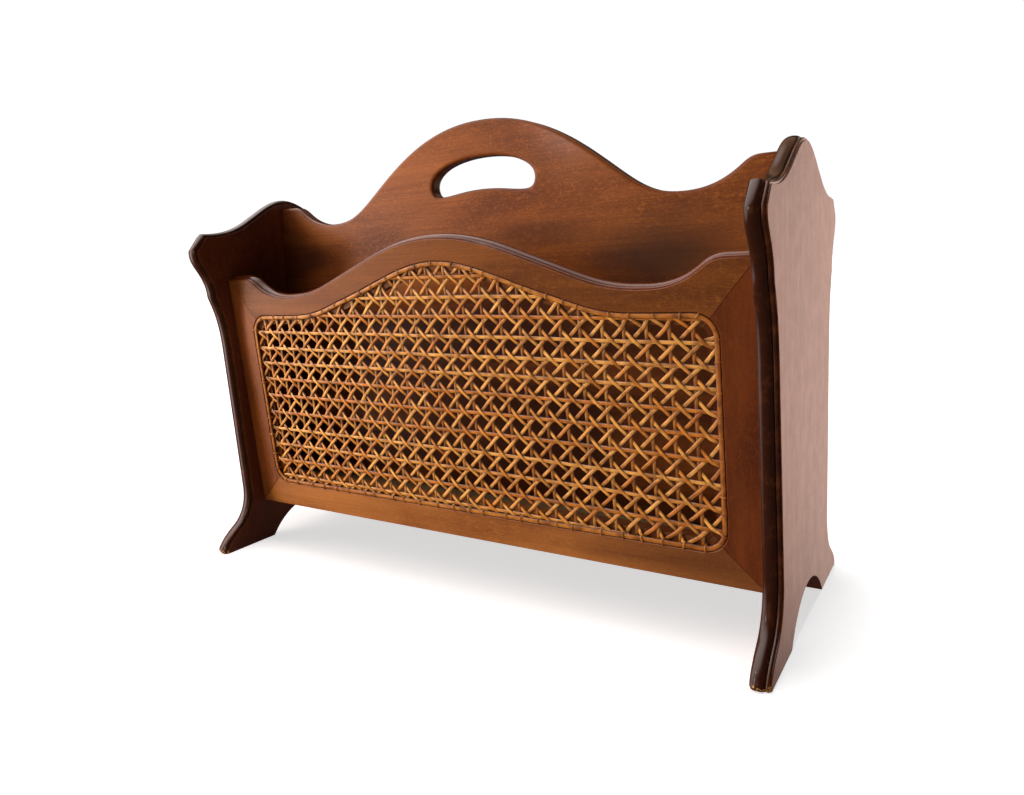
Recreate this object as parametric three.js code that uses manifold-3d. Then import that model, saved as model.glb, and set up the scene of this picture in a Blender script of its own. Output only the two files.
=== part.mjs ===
// A two-compartment magazine rack in mahogany and hand-woven cane.
//
// Two moulded end panels on flared feet carry everything. A thin divider with a hand hole stands
// between them, and a framed cane panel leans outward in front of it and behind it. A bottom board
// closes both compartments. Millimetres, +Z up, X along the rack, -Y towards the front; the origin
// is on the floor under the middle of the rack.

import * as THREE from 'three';
import { mergeVertices } from 'three/addons/utils/BufferGeometryUtils.js';
import Module from 'manifold-3d';

const wasm = await Module();
wasm.setup();

// ---------------------------------------------------------------- driving dimensions

const INNER_LENGTH = 480;        // between the end panels
const PANEL_THICKNESS = 13;      // end panels and frames
const GAP = 0.3;                 // left between touching pieces
const CURVE_STEPS = 6;           // straight steps in each curved stretch
const ROUND_SIDES = 12;          // flats round a dowel or a screw
const OVERCUT = 1;               // how far a cutting tool runs past a surface

const HALF_LENGTH = INNER_LENGTH / 2;

// end panel: half depths (y) and heights (z) of its outline, inside the moulding
const CREST_Z = 325;
const EAR = { y: 94.5, z: 291.5 };
const WIDEST = { y: 104, z: 279.5 };
const KINK = { y: 89.5, z: 238 };
const NECK_TOP = { y: 79, z: 190 };
const NECK_FOOT = { y: 71.5, z: 56 };
const FLARE = { y: 87, z: 19.5 };
const TOE = { y: 104, z: 3 };
const HEEL_Y = 50;
const ARCH_RISE = 26;

// framed cane panels
const LEAN = THREE.MathUtils.degToRad(4.7);
const FRAME_FOOT = { y: 58.2, z: 39 };       // bottom edge of the frame's face
const FRAME_SHOULDER = { x: 214, v: 214 };   // v is measured up the leaning face
const FRAME_VALLEY = { x: 168, v: 196 };
const FRAME_CREST_V = 238;
const OPENING = { x: 216.3, bottom: 21.5, shoulder: 181.5, crest: 222, corner: 17 };
const REBATE_DEPTH = 3.5;
const LEDGE_WIDTH = 8.5;

// cane
const CANE_THICKNESS = 1.9;
const CANE_MARGIN = 0.6;         // from the rebate's wall to the sheet and the binder
const BINDER_WIDTH = 3.6;
const BINDER_THICKNESS = 1.2;

// divider
const DIVIDER_THICKNESS = 13;
const DIVIDER_SHOULDER = { x: 219, z: 319.5 };
const DIVIDER_VALLEY = { x: 171, z: 300 };
const DIVIDER_CREST_Z = 372;
const HAND_HOLE = { x: 50.8, lobe: 41, bottom: 317, lobeBottom: 313.7, end: 322.5, top: 343 };
const HOUSING_DEPTH = 4;

// bottom
const BOARD = { bottom: 49.3, top: 57.7, halfDepth: 49.6 };
const CLEAT = { width: 12, height: 9, halfLength: 40, sideScrewY: 28, upwardScrewY: 12 };

// joinery
const DOWEL = { radius: 3, inPanel: 9, inStile: 14, depth: -8.2, heights: [30, 105, 172] };
const SPLINE = { length: 14, width: 15, thickness: 2.4, depth: -6.6 };
const SCREW = { head: 3.6, headHeight: 2.6, shank: 1.7, length: 19, point: 3 };
const DIVIDER_SCREW_X = [-150, 0, 150];

// ---------------------------------------------------------------- solids

/** Turns a closed geometry into a solid that can be joined and cut. */
function toSolid(geometry) {
  const bare = geometry.clone();
  bare.deleteAttribute('normal');
  bare.deleteAttribute('uv');
  const merged = mergeVertices(bare, 1e-4);
  return new wasm.Manifold(new wasm.Mesh({
    numProp: 3,
    vertProperties: new Float32Array(merged.attributes.position.array),
    triVerts: new Uint32Array(merged.index.array),
  }));
}

/** Turns a solid back into a geometry. */
function toGeometry(solid) {
  const mesh = solid.getMesh();
  const geometry = new THREE.BufferGeometry();
  geometry.setAttribute('position', new THREE.BufferAttribute(new Float32Array(mesh.vertProperties), 3));
  geometry.setIndex(new THREE.BufferAttribute(new Uint32Array(mesh.triVerts), 1));
  geometry.computeVertexNormals();
  return geometry;
}

/** Cuts every tool from a geometry. */
function cut(geometry, tools) {
  const solid = tools.reduce((rest, tool) => rest.subtract(toSolid(tool)), toSolid(geometry));
  return toGeometry(solid);
}

/** Stacks equal loops of points into a closed solid; a loop runs anticlockwise seen from +w. */
function stack(layers) {
  const count = layers[0].points.length;
  const positions = layers.flatMap(({ points, w }) => points.flatMap((p) => [p.x, p.y, w]));
  const index = [];
  for (let layer = 0; layer + 1 < layers.length; layer += 1) {
    for (let i = 0; i < count; i += 1) {
      const a = layer * count + i;
      const b = layer * count + ((i + 1) % count);
      index.push(a, b, b + count, a, b + count, a + count);
    }
  }
  const last = (layers.length - 1) * count;
  THREE.ShapeUtils.triangulateShape(layers[0].points, []).forEach(([a, b, c]) => {
    index.push(c, b, a);
  });
  THREE.ShapeUtils.triangulateShape(layers[layers.length - 1].points, []).forEach(([a, b, c]) => {
    index.push(last + a, last + b, last + c);
  });
  const geometry = new THREE.BufferGeometry();
  geometry.setAttribute('position', new THREE.Float32BufferAttribute(positions, 3));
  geometry.setIndex(index);
  return geometry;
}

/** A flat plate with the given outline between two heights. */
function plate(points, low, high) {
  return stack([{ points, w: low }, { points, w: high }]);
}

/** A box from its lowest and highest corners. */
function box(low, high) {
  const size = new THREE.Vector3().subVectors(high, low);
  const middle = new THREE.Vector3().addVectors(low, high).multiplyScalar(0.5);
  return new THREE.BoxGeometry(size.x, size.y, size.z).translate(middle.x, middle.y, middle.z);
}

/** A round rod along X. */
function rodAlongX(radius, from, to, y, z) {
  const rod = new THREE.CylinderGeometry(radius, radius, Math.abs(to - from), ROUND_SIDES);
  return rod.rotateZ(Math.PI / 2).translate((from + to) / 2, y, z);
}

// ---------------------------------------------------------------- outlines

/** Anticlockwise loop from its right half, which runs from the top middle to the bottom middle. */
function symmetricLoop(half) {
  const left = half.slice(1).map((p) => new THREE.Vector2(-p.x, p.y));
  const right = half.slice(1, -1).reverse();
  return [half[0], ...left, ...right];
}

/** Unit step outward at each point of an anticlockwise loop, lengthened at corners as a mitre is. */
function outwardSteps(points, isMoulded = () => true) {
  const normal = (a, b) => new THREE.Vector2(b.y - a.y, a.x - b.x).normalize();
  return points.map((point, i) => {
    const before = points[(i + points.length - 1) % points.length];
    const after = points[(i + 1) % points.length];
    if (!isMoulded(point)) return new THREE.Vector2();
    if (!isMoulded(before)) return normal(point, after);
    if (!isMoulded(after)) return normal(before, point);
    const n1 = normal(before, point);
    const n2 = normal(point, after);
    return n1.clone().add(n2).divideScalar(1 + n1.dot(n2));
  });
}

/** The loop moved outward by a distance, or inward when it is negative. */
function offsetLoop(points, distance) {
  const steps = outwardSteps(points);
  return points.map((p, i) => p.clone().addScaledVector(steps[i], distance));
}

/**
 * The moulded edge, from the show face inward: depth into the thickness, and how far it stands out.
 * A fillet and a small bead lead to the wide main bead; a second fillet closes it.
 */
const SMALL_BEAD = [[0, 0], [0.9, 0], [1, 0.9], [2.2, 1.6], [3.4, 0.9]];
const MAIN_BEAD = [[4.9, 2.7], [8.1, 3.4], [11.3, 2.7], [12.6, 0.9]];
const MOULDING = [...SMALL_BEAD, ...MAIN_BEAD, [12.7, 0], [PANEL_THICKNESS, 0]];

/** The moulding from low to high w, for a show face that lies low or high. */
function edgeProfile(showsLow) {
  if (showsLow) return MOULDING;
  return MOULDING.slice().reverse().map(([depth, out]) => [PANEL_THICKNESS - depth, out]);
}

/** A plate from low upward in w whose moulded points carry the edge profile. */
function mouldedPlate(points, isMoulded, low, profile) {
  const steps = outwardSteps(points, isMoulded);
  return stack(profile.map(([depth, out]) => ({
    w: low + depth,
    points: points.map((p, i) => {
      const moved = p.clone().addScaledVector(steps[i], out);
      moved.y = Math.max(moved.y, 0);
      return moved;
    }),
  })));
}

/** Outline of an end panel in (y, z). */
function endPanelOutline() {
  const edge = new THREE.Path();
  edge.moveTo(0, CREST_Z);
  edge.bezierCurveTo(14, CREST_Z, 26, 316.5, 38.5, 309);
  edge.bezierCurveTo(51, 301.5, 65, EAR.z, EAR.y, EAR.z);
  edge.lineTo(WIDEST.y, WIDEST.z);
  edge.bezierCurveTo(105.5, 265.5, 91, 262, KINK.y, KINK.z);
  edge.bezierCurveTo(83, 222, 80.5, 212, NECK_TOP.y, NECK_TOP.z);
  edge.lineTo(NECK_FOOT.y, NECK_FOOT.z);
  edge.bezierCurveTo(70.5, 38, 77, 26, FLARE.y, FLARE.z);
  edge.bezierCurveTo(95, 14, 101, 9, TOE.y, TOE.z);
  edge.lineTo(TOE.y - 1.5, 0);
  edge.lineTo(HEEL_Y, 0);
  const radius = (HEEL_Y ** 2 + ARCH_RISE ** 2) / (2 * ARCH_RISE);
  const spread = Math.asin(HEEL_Y / radius);
  edge.absarc(0, ARCH_RISE - radius, radius, Math.PI / 2 - spread, Math.PI / 2, false);
  return symmetricLoop(edge.getPoints(CURVE_STEPS));
}

/** True on the part of the end panel's outline that is moulded: all but the heels and the arch. */
function onEndPanelEdge(point) {
  return Math.abs(point.x) > HEEL_Y + OVERCUT || point.y > ARCH_RISE + OVERCUT;
}

/** Outer outline of a frame in (x, v). */
function frameOutline() {
  const side = HALF_LENGTH - GAP;
  const edge = new THREE.Path();
  edge.moveTo(0, FRAME_CREST_V);
  edge.bezierCurveTo(38, FRAME_CREST_V, 62, 226, 92, 215);
  edge.bezierCurveTo(126, 202.5, 136, FRAME_VALLEY.v, FRAME_VALLEY.x, FRAME_VALLEY.v);
  edge.bezierCurveTo(188, FRAME_VALLEY.v, 200, 204, FRAME_SHOULDER.x, FRAME_SHOULDER.v);
  edge.lineTo(side, FRAME_SHOULDER.v);
  edge.lineTo(side, 0);
  edge.lineTo(0, 0);
  return symmetricLoop(edge.getPoints(CURVE_STEPS));
}

/** Outline of the opening at the frame's face in (x, v). */
function openingOutline() {
  const { x, bottom, shoulder, crest, corner } = OPENING;
  const edge = new THREE.Path();
  edge.moveTo(0, crest);
  edge.bezierCurveTo(30, crest, 60, 207, 90, 197.5);
  edge.bezierCurveTo(122, 187.5, 132, shoulder, 160, shoulder);
  edge.lineTo(x - corner, shoulder);
  edge.absarc(x - corner, shoulder - corner, corner, Math.PI / 2, 0, true);
  edge.lineTo(x, bottom + corner);
  edge.absarc(x - corner, bottom + corner, corner, 0, -Math.PI / 2, true);
  edge.lineTo(0, bottom);
  return symmetricLoop(edge.getPoints(CURVE_STEPS / 2));
}

/** Outline of the divider in (x, z); its ends reach into the housings. */
function dividerOutline() {
  const end = HALF_LENGTH + HOUSING_DEPTH - GAP;
  const edge = new THREE.Path();
  edge.moveTo(0, DIVIDER_CREST_Z);
  edge.bezierCurveTo(35, DIVIDER_CREST_Z, 64, 362, 98, 337.5);
  edge.bezierCurveTo(130, 314.5, 141, DIVIDER_VALLEY.z, DIVIDER_VALLEY.x, DIVIDER_VALLEY.z);
  edge.bezierCurveTo(191, DIVIDER_VALLEY.z, 205, 308, DIVIDER_SHOULDER.x, DIVIDER_SHOULDER.z);
  edge.lineTo(end, DIVIDER_SHOULDER.z);
  edge.lineTo(end, BOARD.top + GAP);
  edge.lineTo(0, BOARD.top + GAP);
  return symmetricLoop(edge.getPoints(CURVE_STEPS));
}

/** Outline of the bean-shaped hand hole in (x, z). */
function handHoleOutline() {
  const hole = HAND_HOLE;
  const edge = new THREE.Path();
  edge.moveTo(0, hole.top);
  edge.bezierCurveTo(28, hole.top, hole.x, 335, hole.x, hole.end);
  edge.bezierCurveTo(hole.x, 317, 48, hole.lobeBottom, hole.lobe, hole.lobeBottom);
  edge.bezierCurveTo(30, hole.lobeBottom, 20, hole.bottom, 0, hole.bottom);
  return symmetricLoop(edge.getPoints(CURVE_STEPS));
}

// ---------------------------------------------------------------- materials and meshes

const finish = (color, roughness) => new THREE.MeshStandardMaterial({ color, roughness, metalness: 0 });
const PANEL_WOOD = finish('#5f3423', 0.35);
const FRAME_WOOD = finish('#8a5233', 0.38);
const DIVIDER_WOOD = finish('#74402a', 0.35);
const BOARD_WOOD = finish('#6b5138', 0.7);
const BEECH = finish('#c9a578', 0.7);
const CANE = finish('#b5824a', 0.45);
const BINDER_CANE = finish('#b8792f', 0.4);
const STEEL = new THREE.MeshStandardMaterial({ color: '#8c8c88', roughness: 0.4, metalness: 0.9 });

function piece(name, geometry, material) {
  const mesh = new THREE.Mesh(geometry, material.clone());
  mesh.name = name;
  return mesh;
}

/** Equal pieces, each its own mesh, numbered from 1. */
function numbered(name, geometries, material) {
  return geometries.map((geometry, i) => piece(`${name}_${i + 1}`, geometry, material));
}

// ---------------------------------------------------------------- placing

/** Maps (y, z, x) of an end panel's outline to the rack's axes. */
const PANEL_AXES = new THREE.Matrix4().makeBasis(
  new THREE.Vector3(0, 1, 0),
  new THREE.Vector3(0, 0, 1),
  new THREE.Vector3(1, 0, 0),
);

/** Places a frame's (x, v, w) in the rack: w points out of its face, v up it. */
function frameMatrix(facing) {
  const lean = new THREE.Matrix4().makeRotationX(Math.PI / 2 + LEAN);
  lean.setPosition(0, -FRAME_FOOT.y, FRAME_FOOT.z);
  const turn = new THREE.Matrix4().makeRotationZ(facing === 'front' ? 0 : Math.PI);
  return turn.multiply(lean);
}

const FACINGS = ['front', 'back'];
const SIDES = [['left', -1], ['right', 1]];

/** Middle of each dowel on the rack's (y, z), for one facing. */
function dowelSpots(facing) {
  return DOWEL.heights.map((v) => new THREE.Vector3(0, v, DOWEL.depth).applyMatrix4(frameMatrix(facing)));
}

// ---------------------------------------------------------------- screws

/** A countersunk wood screw with the top of its head at the origin, pointing along +Z. */
function screw(clearance = 0) {
  const head = SCREW.head + clearance;
  const shank = SCREW.shank + clearance;
  const profile = [
    [0, -clearance],
    [head, -clearance],
    [shank, SCREW.headHeight],
    [shank, SCREW.length - SCREW.point],
    [0, SCREW.length + clearance],
  ].map(([r, z]) => new THREE.Vector2(r, z));
  return new THREE.LatheGeometry(profile, ROUND_SIDES).rotateX(Math.PI / 2);
}

/** Screws that fix the cleats: two into each end panel, and two up into the board. */
function cleatScrewMatrices(sign) {
  const middle = BOARD.bottom - GAP - CLEAT.height / 2;
  const inward = sign * (HALF_LENGTH - GAP - CLEAT.width);
  const towardPanel = new THREE.Matrix4().makeRotationY((sign * Math.PI) / 2);
  const { sideScrewY, upwardScrewY } = CLEAT;
  const sideways = [-sideScrewY, sideScrewY].map((y) => towardPanel.clone().setPosition(inward, y, middle));
  const upward = [-upwardScrewY, upwardScrewY].map((y) => new THREE.Matrix4().makeTranslation(
    sign * (HALF_LENGTH - GAP - CLEAT.width / 2),
    y,
    BOARD.bottom - GAP - CLEAT.height,
  ));
  return [...sideways, ...upward];
}

/** Screws up through the board into the divider's lower edge. */
function dividerScrewMatrices() {
  return DIVIDER_SCREW_X.map((x) => new THREE.Matrix4().makeTranslation(x, 0, BOARD.bottom));
}

const screwsAt = (matrices, clearance = 0) => matrices.map((m) => screw(clearance).applyMatrix4(m));

// ---------------------------------------------------------------- end panels and divider

/** Slot in an end panel that takes the divider's end, open at neither top nor bottom edge. */
function housing(sign) {
  const half = DIVIDER_THICKNESS / 2 + GAP;
  const face = sign * (HALF_LENGTH - OVERCUT);
  const depth = sign * (HALF_LENGTH + HOUSING_DEPTH);
  return box(
    new THREE.Vector3(Math.min(face, depth), -half, BOARD.top),
    new THREE.Vector3(Math.max(face, depth), half, DIVIDER_SHOULDER.z + GAP),
  );
}

function endPanel(side, sign) {
  const low = sign > 0 ? HALF_LENGTH : -HALF_LENGTH - PANEL_THICKNESS;
  const blank = mouldedPlate(endPanelOutline(), onEndPanelEdge, low, edgeProfile(sign < 0));
  blank.applyMatrix4(PANEL_AXES);
  const dowelHoles = FACINGS.flatMap(dowelSpots).map((spot) => rodAlongX(
    DOWEL.radius + GAP,
    sign * (HALF_LENGTH - OVERCUT),
    sign * (HALF_LENGTH + DOWEL.inPanel + GAP),
    spot.y,
    spot.z,
  ));
  const screwHoles = screwsAt(cleatScrewMatrices(sign), GAP);
  return piece(`${side}_end_panel`, cut(blank, [housing(sign), ...dowelHoles, ...screwHoles]), PANEL_WOOD);
}

/** Rounds the divider's upper edge: depth into the thickness, and how far it stands back. */
const DIVIDER_ARRIS = [[0, -2.2], [0.7, -0.7], [2.2, 0]];
const DIVIDER_EDGE = [
  ...DIVIDER_ARRIS,
  ...DIVIDER_ARRIS.slice().reverse().map(([depth, out]) => [DIVIDER_THICKNESS - depth, out]),
];

function divider() {
  const low = -DIVIDER_THICKNESS / 2;
  const onUpperEdge = (point) => point.y > DIVIDER_VALLEY.z - OVERCUT;
  const blank = mouldedPlate(dividerOutline(), onUpperEdge, low, DIVIDER_EDGE);
  const hole = plate(handHoleOutline(), low - OVERCUT, low + DIVIDER_THICKNESS + OVERCUT);
  const upright = new THREE.Matrix4().makeRotationX(Math.PI / 2);
  const geometry = cut(blank, [hole]).applyMatrix4(upright);
  return piece('handle_divider', cut(geometry, screwsAt(dividerScrewMatrices(), GAP)), DIVIDER_WOOD);
}

// ---------------------------------------------------------------- bottom

function boardBox(clearance = 0) {
  const { bottom, top, halfDepth } = BOARD;
  const end = HALF_LENGTH - GAP;
  return box(
    new THREE.Vector3(-end - clearance, -halfDepth - clearance, bottom - clearance),
    new THREE.Vector3(end + clearance, halfDepth + clearance, top + clearance),
  );
}

function bottomPieces() {
  const allCleatScrews = SIDES.flatMap(([, sign]) => cleatScrewMatrices(sign));
  const boardHoles = screwsAt([...allCleatScrews, ...dividerScrewMatrices()], GAP);
  const cleats = SIDES.map(([side, sign]) => {
    const near = sign * (HALF_LENGTH - GAP);
    const far = near - sign * CLEAT.width;
    const top = BOARD.bottom - GAP;
    const blank = box(
      new THREE.Vector3(Math.min(near, far), -CLEAT.halfLength, top - CLEAT.height),
      new THREE.Vector3(Math.max(near, far), CLEAT.halfLength, top),
    );
    return piece(`${side}_cleat`, cut(blank, screwsAt(cleatScrewMatrices(sign), GAP)), BOARD_WOOD);
  });
  return [
    piece('bottom_board', cut(boardBox(), boardHoles), BOARD_WOOD),
    ...cleats,
    ...numbered('cleat_screw', screwsAt(allCleatScrews), STEEL),
    ...numbered('divider_screw', screwsAt(dividerScrewMatrices()), STEEL),
  ];
}

// ---------------------------------------------------------------- framed cane panels

/** Corners of a frame: the mitre runs from the outer point to the inner one. */
const MITRES = {
  top: { outer: new THREE.Vector2(HALF_LENGTH, FRAME_SHOULDER.v), inner: new THREE.Vector2(208, 175) },
  bottom: { outer: new THREE.Vector2(HALF_LENGTH, 0), inner: new THREE.Vector2(209, 30) },
};
const MITRE_REACH = { outward: -1.5, inward: 1.6 };   // past both surfaces, in mitre lengths

/** A point on a mitre line; 0 is the outer corner, 1 the inner one. */
function onMitre(name, along, sign) {
  const { outer, inner } = MITRES[name];
  const point = outer.clone().lerp(inner, along);
  return new THREE.Vector2(sign * point.x, point.y);
}

/** The region that each member of the frame keeps, a hair inside its mitre lines. */
function memberRegion(member) {
  const reach = (name, sign) => [MITRE_REACH.outward, MITRE_REACH.inward].map(
    (along) => onMitre(name, along, sign),
  );
  const [outerTL, innerTL] = reach('top', -1);
  const [outerTR, innerTR] = reach('top', 1);
  const [outerBL, innerBL] = reach('bottom', -1);
  const [outerBR, innerBR] = reach('bottom', 1);
  const regions = {
    top_rail: [innerTL, innerTR, outerTR, outerTL],
    bottom_rail: [outerBL, outerBR, innerBR, innerBL],
    left_stile: [outerTL, outerBL, innerBL, innerTL],
    right_stile: [innerTR, innerBR, outerBR, outerTR],
  };
  return plate(offsetLoop(regions[member], -GAP / 2), -2 * PANEL_THICKNESS, PANEL_THICKNESS);
}

/** A loose tongue across one mitre. */
function mitreSpline(name, sign, clearance = 0) {
  const { outer, inner } = MITRES[name];
  const angle = Math.atan2(inner.y - outer.y, sign * (inner.x - outer.x));
  const middle = onMitre(name, 0.5, sign);
  const grow = 2 * clearance;
  const tongue = new THREE.BoxGeometry(SPLINE.length + grow, SPLINE.width + grow, SPLINE.thickness + grow);
  return tongue.rotateZ(angle).translate(middle.x, middle.y, SPLINE.depth);
}

const allSplines = (clearance) => Object.keys(MITRES).flatMap(
  (name) => SIDES.map(([, sign]) => mitreSpline(name, sign, clearance)),
);

/** The six dowels that join one frame to the end panels, in the frame's own axes. */
function frameDowels(clearance = 0) {
  return DOWEL.heights.flatMap((v) => SIDES.map(([, sign]) => rodAlongX(
    DOWEL.radius + clearance,
    sign * (HALF_LENGTH - DOWEL.inStile - clearance),
    sign * (HALF_LENGTH + DOWEL.inPanel + clearance),
    v,
    DOWEL.depth,
  )));
}

/** The whole frame before it is divided at the mitres. */
function frameBlank(facing) {
  const onTopEdge = (point) => point.y > FRAME_VALLEY.v - OVERCUT;
  const body = mouldedPlate(frameOutline(), onTopEdge, -PANEL_THICKNESS, edgeProfile(false));
  const opening = openingOutline();
  const throughHole = plate(offsetLoop(opening, -LEDGE_WIDTH), -PANEL_THICKNESS - OVERCUT, OVERCUT);
  const rebate = plate(opening, -REBATE_DEPTH, OVERCUT);
  const board = boardBox(GAP).applyMatrix4(frameMatrix(facing).invert());
  return cut(body, [throughHole, rebate, board, ...allSplines(GAP), ...frameDowels(GAP)]);
}

/** The sheet of woven cane that lies on the ledge. */
function canePanel() {
  const low = GAP - REBATE_DEPTH;
  return plate(offsetLoop(openingOutline(), -CANE_MARGIN), low, low + CANE_THICKNESS);
}

/** Outer surface of the cane, on which the binder lies. */
const BINDER_LOW = 2 * GAP - REBATE_DEPTH + CANE_THICKNESS;

/** The flat binder cane that covers the strands' ends round the opening. */
function caneBinder() {
  const outer = offsetLoop(openingOutline(), -CANE_MARGIN);
  const inner = offsetLoop(openingOutline(), -CANE_MARGIN - BINDER_WIDTH);
  const outside = plate(outer, BINDER_LOW, BINDER_LOW + BINDER_THICKNESS);
  const inside = plate(inner, BINDER_LOW - OVERCUT, OVERCUT);
  return cut(outside, [inside]);
}

/** One framed panel. Turned to face the back, its left and right members change places. */
function framedPanel(facing) {
  const group = new THREE.Group();
  frameMatrix(facing).decompose(group.position, group.quaternion, group.scale);
  const blank = toSolid(frameBlank(facing));
  const swapped = { left_stile: 'right_stile', right_stile: 'left_stile' };
  const nameOf = (member) => `${facing}_${facing === 'back' ? swapped[member] ?? member : member}`;
  ['top_rail', 'bottom_rail', 'left_stile', 'right_stile'].forEach((member) => {
    const kept = blank.intersect(toSolid(memberRegion(member)));
    group.add(piece(nameOf(member), toGeometry(kept), FRAME_WOOD));
  });
  group.add(
    piece(`${facing}_cane_panel`, canePanel(), CANE),
    piece(`${facing}_cane_binder`, caneBinder(), BINDER_CANE),
    ...numbered(`${facing}_mitre_spline`, allSplines(0), BEECH),
    ...numbered(`${facing}_frame_dowel`, frameDowels(), BEECH),
  );
  return group;
}

// ---------------------------------------------------------------- the rack

const rack = new THREE.Group();
SIDES.forEach(([side, sign]) => rack.add(endPanel(side, sign)));
rack.add(divider(), ...bottomPieces());
FACINGS.forEach((facing) => rack.add(framedPanel(facing)));

export default rack;
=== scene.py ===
"""Looks of the magazine rack: polished mahogany and hand-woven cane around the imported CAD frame.

Shapes are worked out in millimetres, in the same terms as the CAD, and scaled to metres once.
X runs along the rack, -Y is the front, +Z is up.
"""
import math
import random

import bmesh
import bpy
import numpy as np
from mathutils import Matrix, Vector


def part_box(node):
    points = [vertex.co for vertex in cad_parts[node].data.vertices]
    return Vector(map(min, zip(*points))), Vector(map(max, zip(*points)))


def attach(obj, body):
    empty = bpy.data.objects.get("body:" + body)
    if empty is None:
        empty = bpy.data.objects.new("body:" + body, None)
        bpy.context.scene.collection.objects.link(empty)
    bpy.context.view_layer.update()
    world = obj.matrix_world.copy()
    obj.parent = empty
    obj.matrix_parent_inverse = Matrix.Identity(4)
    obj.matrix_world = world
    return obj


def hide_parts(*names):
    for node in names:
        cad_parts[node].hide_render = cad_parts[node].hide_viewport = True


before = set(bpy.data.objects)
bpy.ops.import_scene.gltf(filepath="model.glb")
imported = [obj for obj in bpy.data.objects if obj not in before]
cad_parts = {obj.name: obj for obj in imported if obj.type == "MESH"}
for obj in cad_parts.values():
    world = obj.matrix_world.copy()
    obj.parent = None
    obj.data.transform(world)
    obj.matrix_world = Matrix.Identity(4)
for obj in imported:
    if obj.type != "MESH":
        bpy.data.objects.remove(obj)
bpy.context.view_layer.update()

MM = 0.001
random.seed(11)


def millimetres(node):
    """Lowest and highest corners of a CAD node, in millimetres."""
    low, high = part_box(node)
    return low / MM, high / MM


# ---------- sizes, in millimetres

RIGHT_LOW, RIGHT_HIGH = millimetres("right_end_panel")
DIVIDER_LOW, DIVIDER_HIGH = millimetres("handle_divider")

HALF_LENGTH = RIGHT_LOW.x
PANEL_THICKNESS = RIGHT_HIGH.x - RIGHT_LOW.x
DIVIDER_THICKNESS = DIVIDER_HIGH.y - DIVIDER_LOW.y
DIVIDER_CREST_Z = DIVIDER_HIGH.z
GAP = 0.3
CURVE_STEPS = 16

# end panel outline: half depths (y) and heights (z)
CREST_Z = 325.0
EAR = (94.5, 291.5)
WIDEST = (104.0, 279.5)
KINK = (89.5, 238.0)
NECK_TOP = (79.0, 190.0)
NECK_FOOT = (71.5, 56.0)
FLARE = (87.0, 19.5)
TOE = (104.0, 3.0)
HEEL_Y = 50.0
ARCH_RISE = 26.0

# leaning frames: x, and v measured up the face
LEAN = math.radians(4.7)
FRAME_FOOT_Y = 58.2
FRAME_FOOT_Z = 39.0
FRAME_SHOULDER = (214.0, 214.0)
FRAME_VALLEY = (168.0, 196.0)
FRAME_CREST_V = 238.0
OPENING_X = 216.3
OPENING_BOTTOM = 21.5
OPENING_SHOULDER = 181.5
OPENING_CREST = 222.0
OPENING_CORNER = 17.0
OPENING_ARRIS = 0.35
REBATE_DEPTH = 3.5
LEDGE_WIDTH = 8.5
MITRES = {
    "top": (Vector((HALF_LENGTH, FRAME_SHOULDER[1])), Vector((208.0, 175.0))),
    "bottom": (Vector((HALF_LENGTH, 0.0)), Vector((209.0, 30.0))),
}

# divider: x and z
DIVIDER_SHOULDER = (219.0, 319.5)
DIVIDER_VALLEY = (171.0, 300.0)
DIVIDER_ARRIS = 2.2
HAND_HOLE_X = 50.8
HAND_HOLE_LOBE = (41.0, 313.7)
HAND_HOLE_BOTTOM = 317.0
HAND_HOLE_END = 322.5
HAND_HOLE_TOP = 343.0

# cane
HOLE_INSET = 3.0
CELL = 16.15
MIDDLE_COLUMN = 14.56
COLUMN_SQUEEZE = 0.0012
FIRST_ROW_V = 42.7
ROW_PITCH = 15.15
ROW_SLOPE = 0.008        # hand work: every row falls a little towards the right,
ROW_SAG = 8.8e-5         # on the right half it hangs down more,
SAG_ROWS = 13            # and most in the lowest rows, up to this one;
ROW_BULGE = 2.2          # the sixth row stands this much too high, and those beside it less
BULGE_ROW = 6
BULGE_SPREAD = 1.8
FALLING_PHASE = 0.47     # where a falling strand crosses a row, in cells from the upright strand
RISING_PHASE = 0.28      # the same for a rising strand,
RISING_DRIFT = 0.04      # which drifts by this for each column left of the one named next,
DRIFT_COLUMN = 17
DRIFT_ROWS = 4           # and fully so above this row
LAST_COLUMN = 30
LAST_ROW = 14
STRAND_WIDTH = 2.85
STRAND_THICKNESS = 0.8
STRAND_SWING = 0.62
STRAND_VARIES = 0.08     # part of its width by which a strand is wider or narrower
STRAND_STRAY = 0.22
WANDER = 0.18            # how far a strand wanders sideways, and over what length
WANDER_LENGTH = 23
TWIST = 0.12
TWIST_LENGTH = 9
WEAVE_DEPTH = -2.2
STRAND_SAMPLES = 10
STRAIGHT_PULL = 0.3 * CELL    # the end of an upright or crosswise strand that bends to its hole
DIAGONAL_PULL = 0.6 * CELL    # the same for a diagonal strand
HOLE_NEAR = 0.7 * CELL        # a diagonal strand heads for a hole that is as near as this
HOLE_SHARE = 0.4              # and goes this part of the way
END_LEAN = 0.4
END_DEPTH = -1.6
BINDER_MARGIN = 0.5
BINDER_WIDTH = 3.5
BINDER_THICKNESS = 0.95
BINDER_DEPTH = -1.0
BINDER_STEP = 2.5
TIE_SPACING = CELL
TIE_WIDTH = 1.0
TIE_VARIES = 0.2
TIE_SLIP = 2.0
TIE_SKEW = 0.12


# ---------- outlines

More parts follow.
